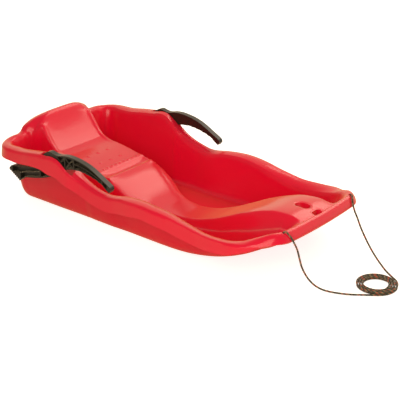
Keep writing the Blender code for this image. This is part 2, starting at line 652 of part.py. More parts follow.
def lattice_pockets(top, under, reach):
    """Four triangles between the two diagonal ribs of one bay, clear of the hub."""
    corners = []
    for a in reach:
        low = max(np.interp(a, under[::-1, 0], under[::-1, 1]) + LEVER_WALL, HUB_DIAMETER / 2)
        high = np.interp(a, top[::-1, 0], top[::-1, 1]) - LEVER_WALL
        corners += [np.array((a, low)), np.array((a, high))]
    low_a, high_a, low_b, high_b = corners
    middle = (low_a + high_a + low_b + high_b) / 4
    triangles = []
    for first, second in ((low_a, low_b), (low_b, high_b), (high_b, high_a), (high_a, low_a)):
        centre = (first + second + middle) / 3
        triangles.append([tuple(corner + (centre - corner) * LATTICE_RIB_SHARE) for corner in (first, second, middle)])
    return triangles


def build_hull(material):
    hull = new_object("hull", hull_sheet(), material)
    hull.data.shade_smooth()
    bpy.context.view_layer.update()
    tree = BVHTree.FromObject(hull, bpy.context.evaluated_depsgraph_get())
    wall = hull.modifiers.new("wall", "SOLIDIFY")
    wall.thickness = WALL
    wall.offset = -1.0
    wall.use_even_offset = True
    across = HULL_WIDTH / 2 - ROPE_HOLE_FROM_SIDE
    holes = {side: surface_at(tree, (FRONT - ROPE_HOLE_FROM_FRONT, side * across, HULL_HEIGHT), (0, 0, -1))
             for side in (1, -1)}
    cut_openings(hull, holes)
    add_bosses(hull, tree)
    return tree, holes


def build_lever(side_name, side, material):
    top, under = lever_lines()
    place = sideways(side)
    middle = (LEVER_INSIDE + LEVER_OUTSIDE) / 2
    body = bmesh.new()
    add_prism(body, lever_outline(top, under), LEVER_INSIDE - middle, LEVER_OUTSIDE - middle, place)
    lever = new_object(f"brake_lever_{side_name}", mesh_data("lever", body), material)
    lever.location = (PIVOT_X, side * middle, PIVOT_Z)

    pockets = []
    for reach, low, high in BAND_POCKETS:
        pockets.append(band_pocket(top, under, reach, low, high))
    for reach in LATTICE_BAYS:
        pockets += lattice_pockets(top, under, reach)
    cuts = bmesh.new()
    floor = LEVER_INSIDE + LEVER_WEB - middle
    above = LEVER_OUTSIDE + FIT_GAP - middle
    for outline in pockets:
        add_prism(cuts, outline, floor, above, place)
    add_prism(cuts, circle(HUB_DIAMETER / 2, 20), HUB_FACE - middle, above, place)
    bore = bmesh.new()
    add_prism(bore, circle(PIN_DIAMETER / 2 + FIT_GAP, 16), LEVER_INSIDE - FIT_GAP - middle, above, place)
    for tool_name, mesh in (("pockets", cuts), ("bore", bore)):
        tool = new_object(f"lever_{tool_name}_{side_name}", mesh_data(tool_name, mesh))
        tool.location = lever.location
        boolean(lever, tool, "DIFFERENCE")


def build_pin(side_name, side, material):
    mesh = bmesh.new()
    outline = circle(PIN_DIAMETER / 2, 16, (PIVOT_X, PIVOT_Z))
    add_prism(mesh, outline, BOSS_END - PIN_SOCKET_DEPTH + FIT_GAP, PIN_END, sideways(side))
    pin = new_object(f"pivot_pin_{side_name}", mesh_data("pin", mesh), material)
    pin.data.shade_smooth()
    pin.data.set_sharp_from_angle(angle=math.radians(40))


def build_clip(side_name, side, material):
    mesh = bmesh.new()
    add_ring(mesh, circle(CLIP_DIAMETER / 2, 20, (PIVOT_X, PIVOT_Z)),
             circle(PIN_DIAMETER / 2 + FIT_GAP, 20, (PIVOT_X, PIVOT_Z)),
             CLIP_INNER_FACE, CLIP_INNER_FACE + CLIP_THICKNESS, sideways(side))
    new_object(f"pin_clip_{side_name}", mesh_data("clip", mesh), material)


def even_points(points, spacing):
    """Evenly spaced points on a smooth curve through the route's own points."""
    fine = smooth_chain(points, 12)
    run = np.concatenate(([0.0], np.cumsum(np.linalg.norm(np.diff(fine, axis=0), axis=1))))
    at = np.linspace(0.0, run[-1], max(2, int(round(run[-1] / spacing)) + 1))
    return np.column_stack([np.interp(at, run, fine[:, k]) for k in range(3)])


def rope_tube(name, points, resolution, material):
    data = bpy.data.curves.new(name, "CURVE")
    data.dimensions = "3D"
    data.bevel_depth = ROPE_DIAMETER / 2
    data.bevel_resolution = resolution
    data.use_fill_caps = True
    spline = data.splines.new("POLY")
    spline.points.add(len(points) - 1)
    for point, (x, y, z) in zip(spline.points, points):
        point.co = (x, y, z, 1.0)
    new_object(name, data, material)


def heading(angle):
    return np.array((math.cos(math.radians(angle)), math.sin(math.radians(angle)), 0.0))


def coil_points():
    """Two layers of one rope: in at a steady rate below, up in half a turn, and out again above."""
    start = math.radians(COIL_START_HEADING - 90)
    turns = COIL_WHOLE_TURNS + (COIL_END_HEADING - COIL_START_HEADING) / 360
    count = int(round(turns * COIL_POINTS_PER_TURN))
    points = []
    for k in range(count + 1):
        turn = turns * k / count
        radius = COIL_OUTER_RADIUS - COIL_PITCH * min(turn, turns - turn)
        angle = start + 2 * math.pi * turn
        climb = float(smooth_step(turn, turns / 2 - 0.25, turns / 2 + 0.25))
        points.append((COIL_CENTRE[0] + radius * math.cos(angle), COIL_CENTRE[1] + radius * math.sin(angle),
                       ROPE_DIAMETER / 2 + FIT_GAP + COIL_LAYER_RISE * climb))
    return np.array(points)


def least_gap(points, apart):
    """Least distance between turns of a tube that don't follow each other, less its diameter."""
    least = min(float(np.linalg.norm(points[i + apart:] - points[i], axis=1).min())
                for i in range(len(points) - apart))
    return least - ROPE_DIAMETER


def knot_place(tree, hole):
    """Centre of a knot: back down the hole's axis, until the knot clears the lip's underside."""
    clear = WALL + KNOT_DIAMETER / 2 + FIT_GAP
    depth = clear
    while tree.find_nearest(hole - HOLE_AXIS * depth)[3] < clear and depth < 2 * clear:
        depth += FIT_GAP
    return hole - HOLE_AXIS * depth


def followed(route, hole, side):
    """Points of a run, moved with its hole: fully at the hole's height, not at all on the ground."""
    drawn = np.array((DRAWN_HOLE[0], side * DRAWN_HOLE[1], DRAWN_HOLE[2]))
    points = np.array(route)
    return points + (np.array(hole) - drawn) * np.minimum(points[:, 2:] / drawn[2], 1.0)


def build_rope(tree, holes, material):
    coil = coil_points()
    print(f"coil: least gap between turns {least_gap(coil, COIL_POINTS_PER_TURN // 2) * 1000:.2f} mm")
    ways_in = (-heading(COIL_START_HEADING), heading(COIL_END_HEADING))
    ends = [coil[0] + ways_in[0] * ROPE_DIAMETER, coil[-1] + ways_in[1] * ROPE_DIAMETER]
    rope_tube("rope_coil", np.vstack((ends[:1], coil, ends[1:])), 1, material)
    runs = (("right", -1, RIGHT_RUN, ends[0], ways_in[0]), ("left", 1, LEFT_RUN, ends[1], ways_in[1]))
    for side_name, side, route, end, way in runs:
        hole = holes[side]
        knot = knot_place(tree, hole)
        start = knot + HOLE_AXIS * (KNOT_DIAMETER / 2 + FIT_GAP)
        straight = end + way * (FIT_GAP + ROPE_DIAMETER)
        points = even_points(np.vstack((start, hole, followed(route, hole, side), straight)), ROPE_POINT_SPACING)
        rope_tube(f"rope_{side_name}_run", np.vstack((points, end + way * FIT_GAP)), 2, material)
        mesh = bmesh.new()
        bmesh.ops.create_uvsphere(mesh, u_segments=14, v_segments=8, radius=KNOT_DIAMETER / 2)
        bmesh.ops.rotate(mesh, verts=mesh.verts, matrix=HOLE_TURN)
        lump = new_object(f"rope_knot_{side_name}", mesh_data("knot", mesh), material)
        lump.data.shade_smooth()
        lump.location = knot


for old in list(bpy.data.objects):
    bpy.data.objects.remove(old, do_unlink=True)

red = finish("red polyethylene", RED, 0.30)
black = finish("black polypropylene", BLACK, 0.45)
steel = finish("zinc plated steel", STEEL, 0.35, 1.0)
green = finish("braided polypropylene rope", ROPE_GREEN, 0.80)
hull_tree, rope_holes = build_hull(red)
for name, sign in (("left", 1), ("right", -1)):
    build_lever(name, sign, black)
    build_pin(name, sign, steel)
    build_clip(name, sign, steel)
build_rope(hull_tree, rope_holes, green)
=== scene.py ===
# Looks of a moulded plastic bob sled: glossy red hull, black claw brakes, steel pins and a braided pull rope.
# Metres, +X forward, +Y to the sled's left, +Z up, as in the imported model.
import math

import bmesh
import bpy
import numpy as np
from mathutils import Matrix, Vector
from mathutils.bvhtree import BVHTree


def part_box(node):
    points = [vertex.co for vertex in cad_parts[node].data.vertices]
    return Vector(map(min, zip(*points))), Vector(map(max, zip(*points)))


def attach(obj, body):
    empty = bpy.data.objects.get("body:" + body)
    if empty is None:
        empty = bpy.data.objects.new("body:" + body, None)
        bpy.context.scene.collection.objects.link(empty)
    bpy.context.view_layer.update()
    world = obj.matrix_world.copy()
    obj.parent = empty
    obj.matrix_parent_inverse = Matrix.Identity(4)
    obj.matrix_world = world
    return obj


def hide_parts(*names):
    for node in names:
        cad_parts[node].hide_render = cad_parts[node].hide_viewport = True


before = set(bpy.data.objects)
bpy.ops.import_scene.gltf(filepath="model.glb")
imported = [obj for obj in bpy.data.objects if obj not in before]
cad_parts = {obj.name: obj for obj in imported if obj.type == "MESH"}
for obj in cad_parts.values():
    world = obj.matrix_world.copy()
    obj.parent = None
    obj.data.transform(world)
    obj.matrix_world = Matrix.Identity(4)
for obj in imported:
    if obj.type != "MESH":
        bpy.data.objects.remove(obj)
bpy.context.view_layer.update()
scene = bpy.context.scene
scene.view_settings.view_transform = "Standard"
print("frame loaded")

# the photograph looks at the sled from its front right corner, a little above it
photoView = {"aim": (0.080, 0.0, 0.070), "distance": 3.1, "azimuth": 39.52, "elevation": 23.79,
             "lens": 103.0, "sensor": 36.0}


def makeCamera(setup):
    azimuth, elevation = math.radians(setup["azimuth"]), math.radians(setup["elevation"])
    forward = Vector((-math.sin(azimuth) * math.cos(elevation), math.cos(azimuth) * math.cos(elevation),
                      -math.sin(elevation)))
    right = Vector((math.cos(azimuth), math.sin(azimuth), 0.0))
    turn = Matrix((right, right.cross(forward), -forward)).transposed().to_4x4()
    data = bpy.data.cameras.new("photoView")
    data.lens = setup["lens"]
    data.sensor_width = setup["sensor"]
    camera = bpy.data.objects.new("photoView", data)
    camera.matrix_world = Matrix.Translation(Vector(setup["aim"]) - setup["distance"] * forward) @ turn
    scene.collection.objects.link(camera)
    scene.camera = camera


makeCamera(photoView)


# small helpers that every piece uses

def linear(hexColour):
    parts = [int(hexColour[i:i + 2], 16) / 255 for i in (1, 3, 5)]
    return [p / 12.92 if p <= 0.04045 else ((p + 0.055) / 1.055) ** 2.4 for p in parts] + [1.0]


def smoothStep(value, low, high):
    t = np.clip((value - low) / (high - low), 0.0, 1.0)
    return t * t * (3 - 2 * t)


def through(stations, at):
    # smooth curve through stations that never overshoots between them
    place, value = np.array(stations, dtype=float).T
    at = np.clip(np.asarray(at, dtype=float), place[0], place[-1])
    step = np.diff(place)
    rise = np.diff(value) / step
    slope = np.zeros(len(place))
    slope[0], slope[-1] = rise[0], rise[-1]
    sameWay = rise[:-1] * rise[1:] > 0
    total = np.where(sameWay, rise[:-1] + rise[1:], 1.0)
    slope[1:-1] = np.where(sameWay, 2 * rise[:-1] * rise[1:] / total, 0.0)
    i = np.clip(np.searchsorted(place, at, side="right") - 1, 0, len(step) - 1)
    t = (at - place[i]) / step[i]
    return (value[i] * (1 + 2 * t) * (1 - t) ** 2 + slope[i] * step[i] * t * (1 - t) ** 2
            + value[i + 1] * t * t * (3 - 2 * t) - slope[i + 1] * step[i] * t * t * (1 - t))


def smoothChain(points, pieces):
    # smooth curve through a chain of points, each stretch in equal pieces
    p = np.array(points, dtype=float)
    ends = np.vstack((2 * p[0] - p[1], p, 2 * p[-1] - p[-2]))
    t = (np.arange(pieces) / pieces)[:, None]
    chain = []
    for i in range(1, len(ends) - 2):
        a, b, c, d = ends[i - 1:i + 3]
        chain.append(0.5 * (2 * b + (c - a) * t + (2 * a - 5 * b + 4 * c - d) * t ** 2
                            + (3 * b - a - 3 * c + d) * t ** 3))
    return np.vstack(chain + [p[-1:]])


def runAlong(points):
    return np.concatenate(([0.0], np.cumsum(np.linalg.norm(np.diff(points, axis=0), axis=1))))


def evenPoints(points, spacing):
    run = runAlong(points)
    at = np.linspace(0.0, run[-1], max(2, int(round(run[-1] / spacing)) + 1))
    return np.column_stack([np.interp(at, run, points[:, k]) for k in range(3)])


def unit(vectors):
    return vectors / np.linalg.norm(vectors, axis=1)[:, None]


def tubePoints(line, radius, sideways, upward):
    # rings of points round a line, with a radius for each point
    angle = 2 * math.pi * np.arange(radius.shape[1]) / radius.shape[1]
    return line[:, None, :] + radius[..., None] * (np.cos(angle)[None, :, None] * sideways[:, None, :]
                                                   + np.sin(angle)[None, :, None] * upward[:, None, :])


def middleOf(node):
    return sum(np.array(corner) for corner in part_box(node)) / 2


def addNode(tree, kind, settings=None, links=None):
    made = tree.nodes.new(kind)
    for key, value in (settings or {}).items():
        if isinstance(key, str) and hasattr(made, key):
            setattr(made, key, value)
        else:
            made.inputs[key].default_value = value
    for key, source in (links or {}).items():
        tree.links.new(source, made.inputs[key])
    return made


def newMaterial(name):
    material = bpy.data.materials.new(name)
    material.use_nodes = True
    return material, material.node_tree, material.node_tree.nodes["Principled BSDF"]


def mottled(tree, shader, scale, detail, colours):
    # two close tones mixed by noise in the piece's own metres; gives the coordinates and the noise
    place = addNode(tree, "ShaderNodeTexCoord").outputs["Object"]
    noise = addNode(tree, "ShaderNodeTexNoise", {"Scale": scale, "Detail": detail}, {"Vector": place}).outputs[0]
    tone = addNode(tree, "ShaderNodeMix",
                   {"data_type": "RGBA", 6: linear(colours[0]), 7: linear(colours[1])}, {0: noise})
    tree.links.new(tone.outputs[2], shader.inputs["Base Color"])
    return place, noise


def addBump(tree, shader, height, strength, distance):
    bump = addNode(tree, "ShaderNodeBump", {"Strength": strength, "Distance": distance}, {"Height": height})
    tree.links.new(bump.outputs[0], shader.inputs["Normal"])


def newPiece(name, data, material):
    piece = bpy.data.objects.new(name, data)
    scene.collection.objects.link(piece)
    data.materials.append(material)
    return piece


def settle(piece):
    # keep what the modifiers give as the piece's own mesh
    bpy.context.view_layer.update()
    data = bpy.data.meshes.new_from_object(piece.evaluated_get(bpy.context.evaluated_depsgraph_get()))
    piece.modifiers.clear()
    piece.data = data


def meshFrom(name, mesh):
    bmesh.ops.recalc_face_normals(mesh, faces=mesh.faces)
    data = bpy.data.meshes.new(name)
    mesh.to_mesh(data)
    mesh.free()
    return data


def joinLoops(mesh, loops):
    for first, second in zip(loops, loops[1:]):
        for i in range(len(first)):
            k = (i + 1) % len(first)
            mesh.faces.new((first[i], first[k], second[k], second[i]))


def addPrism(mesh, outline, low, high, place=lambda a, b, c: Vector((a, b, c))):
    bottom, top = ([mesh.verts.new(place(a, b, level)) for a, b in outline] for level in (low, high))
    mesh.faces.new(bottom)
    mesh.faces.new(top)
    joinLoops(mesh, [bottom, top])


def shadeSmooth(data, sharpAngle):
    data.shade_smooth()
    data.set_sharp_from_angle(angle=math.radians(sharpAngle))


def circle(radius, count, centre=(0.0, 0.0)):
    return [(centre[0] + radius * math.cos(2 * math.pi * k / count),
             centre[1] + radius * math.sin(2 * math.pi * k / count)) for k in range(count)]


# pull rope: one length from the right hole through the coil to the left hole
rope = {
    "diameter": 0.005, "knot": 0.012, "gap": 0.0003, "strandsEachWay": 3, "plaitLength": 0.0032,
    "relief": 0.05, "sides": 24, "step": 0.0008,
    "rightRun": (
        (0.4638, -0.1465, 0.1436), (0.4667, -0.1463, 0.1442), (0.4703, -0.1454, 0.1427), (0.4741, -0.1439, 0.1391),
        (0.4781, -0.1416, 0.1331), (0.4827, -0.1390, 0.1247), (0.4885, -0.1363, 0.1130), (0.4930, -0.1341, 0.1020),
        (0.4960, -0.1325, 0.0910), (0.4997, -0.1301, 0.0735), (0.5045, -0.1263, 0.0525), (0.5150, -0.1195, 0.0285),
        (0.5300, -0.1145, 0.0125), (0.5490, -0.1110, 0.0045), (0.5720, -0.1070, 0.0028), (0.5970, -0.0985, 0.0028),
        (0.6230, -0.0850, 0.0028),
    ),
    "leftRun": (
        (0.4638, 0.1462, 0.1436), (0.4672, 0.1443, 0.1443), (0.4711, 0.1404, 0.1430), (0.4754, 0.1353, 0.1386),
        (0.4803, 0.1304, 0.1304), (0.4860, 0.1264, 0.1202), (0.4925, 0.1247, 0.1085), (0.5000, 0.1240, 0.0965),
        (0.5150, 0.1206, 0.0726), (0.5340, 0.1165, 0.0485), (0.5550, 0.1090, 0.0297), (0.5770, 0.0975, 0.0185),
        (0.5980, 0.0840, 0.0130), (0.6180, 0.0700, 0.0102), (0.6370, 0.0575, 0.0088),
    ),
    "coilCentre": (0.643, -0.006), "wholeTurns": 6, "startHeading": 37.3, "endHeading": 150.3,
    "outerRadius": 0.0515, "pitch": 0.0066, "layerRise": 0.0056, "halfClimb": 0.25, "pointsPerTurn": 24,
    # straight stretches: beside the coil, in diameters, and out of the leaning holes
    "coilLead": 2, "holeLean": 25.0, "holeLead": 0.0036, "curvePieces": 12,
    # stopper knots, and how many points apart the cord's path is told
    "knotTurns": 96, "knotSides": 12, "knotTube": 0.36, "knotHeight": 1.2, "pathStep": 3,
}


def heading(angle):
    return np.array((math.cos(math.radians(angle)), math.sin(math.radians(angle)), 0.0))


def coilPoints(r):
    # two layers of one rope: in at a steady rate below, up in half a turn, and out again above
    start = math.radians(r["startHeading"] - 90)
    turns = r["wholeTurns"] + (r["endHeading"] - r["startHeading"]) / 360
    turn = np.linspace(0, turns, int(round(turns * r["pointsPerTurn"])) + 1)
    radius = r["outerRadius"] - r["pitch"] * np.minimum(turn, turns - turn)
    angle = start + 2 * math.pi * turn
    climb = smoothStep(turn, turns / 2 - r["halfClimb"], turns / 2 + r["halfClimb"])
    return np.column_stack((r["coilCentre"][0] + radius * np.cos(angle),
                            r["coilCentre"][1] + radius * np.sin(angle),
                            r["diameter"] / 2 + r["gap"] + r["layerRise"] * climb))


def ropeRoute(r):
    lean = math.radians(r["holeLean"])
    holeAxis = np.array((math.sin(lean), 0.0, math.cos(lean)))
    lead = holeAxis * r["holeLead"]
    knots = {side: middleOf(f"rope_knot_{side}") for side in ("right", "left")}
    starts = {side: knot + holeAxis * (r["knot"] / 2 + r["gap"]) for side, knot in knots.items()}
    coil = coilPoints(r)
    ahead = coil[0] - heading(r["startHeading"]) * r["coilLead"] * r["diameter"]
    behind = coil[-1] + heading(r["endHeading"]) * r["coilLead"] * r["diameter"]
    control = np.vstack((starts["right"], starts["right"] + lead, r["rightRun"], ahead, coil, behind,
                         r["leftRun"][::-1], starts["left"] + lead, starts["left"]))
    return evenPoints(smoothChain(control, r["curvePieces"]), r["step"]), knots


def ropeMaterial():
    # braided polypropylene rope: soft dull sheen on round yarns, dark olive with brown and orange tracers
    yarns = ("#3A3B28", "#574632", "#2C4030", "#A8563A", "#4A4434", "#8A7A5C")
    material, tree, shader = newMaterial("braided polypropylene yarn")
    uv = addNode(tree, "ShaderNodeUVMap", {"uv_map": "plait"})
    parts = addNode(tree, "ShaderNodeSeparateXYZ", links={0: uv.outputs[0]})
    ways = []
    for sign in (1, -1):
        shifted = addNode(tree, "ShaderNodeMath", {"operation": "MULTIPLY_ADD", 1: sign},
                          {0: parts.outputs[1], 2: parts.outputs[0]})
        ways.append(addNode(tree, "ShaderNodeMath", {"operation": "FLOOR"}, {0: shifted.outputs[0]}))
    both = addNode(tree, "ShaderNodeMath", {"operation": "ADD"}, {k: ways[k].outputs[0] for k in (0, 1)})
    over = addNode(tree, "ShaderNodeMath", {"operation": "PINGPONG", 1: 1.0}, {0: both.outputs[0]})
    strand = addNode(tree, "ShaderNodeMix", {"data_type": "FLOAT"},
                     {0: over.outputs[0], 2: ways[0].outputs[0], 3: ways[1].outputs[0]})
    number = addNode(tree, "ShaderNodeMath", {"operation": "FLOORED_MODULO", 1: len(yarns)},
                     {0: strand.outputs[0]})
    toned = addNode(tree, "ShaderNodeMath", {"operation": "DIVIDE", 1: len(yarns)}, {0: number.outputs[0]})
    ramp = addNode(tree, "ShaderNodeValToRGB", links={0: toned.outputs[0]})
    ramp.color_ramp.interpolation = "CONSTANT"
    stops = ramp.color_ramp.elements
    while len(stops) < len(yarns):
        stops.new(0.5)
    for i, yarn in enumerate(yarns):
        stops[i].position = max(0.0, (i - 0.5) / len(yarns))
        stops[i].color = linear(yarn)
    tree.links.new(ramp.outputs[0], shader.inputs["Base Color"])
    fibres = addNode(tree, "ShaderNodeTexNoise", {"Scale": 2500.0, "Detail": 2.0})
    addBump(tree, shader, fibres.outputs[0], 0.35, 0.0002)
    shader.inputs["Roughness"].default_value = 0.78
    shader.inputs["Sheen Weight"].default_value = 0.25
    return material


def buildRope(r):
    path, knots = ropeRoute(r)
    side = np.array((0.0, 1.0, 0.0))
    sides, ups = [], []
    for direction in unit(np.gradient(path, axis=0)):
        side = side - direction * side.dot(direction)
        side /= np.linalg.norm(side)
        sides.append(side)
        ups.append(np.cross(direction, side))
    run = runAlong(path)
    count, lumps = r["sides"], 2 * r["strandsEachWay"]
    angle = 2 * math.pi * np.arange(count) / count
    plait = np.cos(math.pi * run / r["plaitLength"])[:, None] - np.cos(lumps * angle)[None, :]
    radius = r["diameter"] / 2 * (1 - r["relief"] + r["relief"] * plait / 2)
    points = tubePoints(path, radius, np.array(sides), np.array(ups))
    total = len(path)
    i, k = np.meshgrid(np.arange(total - 1), np.arange(count), indexing="ij")
    nextSide = (k + 1) % count
    quads = (i * count + k, i * count + nextSide, (i + 1) * count + nextSide, (i + 1) * count + k)
    faces = np.stack(quads, axis=-1).reshape(-1, 4).tolist()
    faces += [list(range(count))[::-1], [(total - 1) * count + k for k in range(count)]]
    data = bpy.data.meshes.new("pullRope")
    data.from_pydata(points.reshape(-1, 3).tolist(), [], faces)
    uv = data.uv_layers.new(name="plait")
    turns = np.repeat(run[:, None] / (2 * r["plaitLength"]), count, axis=1)
    here, beside = k * lumps / 2 / count, (k + 1) * lumps / 2 / count
    cornerU = np.stack((here, beside, beside, here), axis=-1)
    cornerV = np.stack((turns[:-1], turns[:-1], turns[1:], turns[1:]), axis=-1)
    corners = np.stack((cornerU, cornerV), axis=-1).reshape(-1, 2)
    caps = np.zeros((2 * count, 2))
    uv.data.foreach_set("uv", np.vstack((corners, caps)).ravel())
    data.shade_smooth()
    data.update()
    piece = newPiece("pullRope", data, ropeMaterial())
    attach(piece, "sled")
    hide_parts("rope_right_run", "rope_coil", "rope_left_run")
    tied = [buildKnot(f"ropeKnot{name.title()}", name, centre, r, piece.data.materials[0])
            for name, centre in knots.items()]
    print(f"rope {run[-1]:.3f} m")


def buildKnot(name, side, centre, r, material):
    # stopper knot pulled tight: a trefoil of the same rope, which reaches 3 before it is scaled
    turns, sides = r["knotTurns"], r["knotSides"]
    t = 2 * math.pi * np.arange(turns) / turns
    line = np.column_stack((np.sin(t) + 2 * np.sin(2 * t), np.cos(t) - 2 * np.cos(2 * t),
                            -r["knotHeight"] * np.sin(3 * t)))
    tube = r["knot"] / 2 * r["knotTube"]
    line *= (r["knot"] / 2 - tube) / 3.0
    ahead = unit(np.roll(line, -1, axis=0) - np.roll(line, 1, axis=0))
    outward = unit(line - ahead * np.sum(line * ahead, axis=1)[:, None])
    points = tubePoints(line, np.full((turns, sides), tube), outward, np.cross(ahead, outward))
    points = points.reshape(-1, 3) + centre
    faces = [(i * sides + k, i * sides + (k + 1) % sides, (i + 1) % turns * sides + (k + 1) % sides,
              (i + 1) % turns * sides + k) for i in range(turns) for k in range(sides)]
    data = bpy.data.meshes.new(name)
    data.from_pydata(points.tolist(), [], faces)
    uv = data.uv_layers.new(name="plait")
    uv.data.foreach_set("uv", np.array([(k / 4, i / 4) for i in range(turns) for k in range(sides)
                                        for _ in range(4)]).ravel())
    data.shade_smooth()
    knot = newPiece(name, data, material)
    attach(knot, "sled")
    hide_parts(f"rope_knot_{side}")
    return knot


buildRope(rope)
print("rope laid")


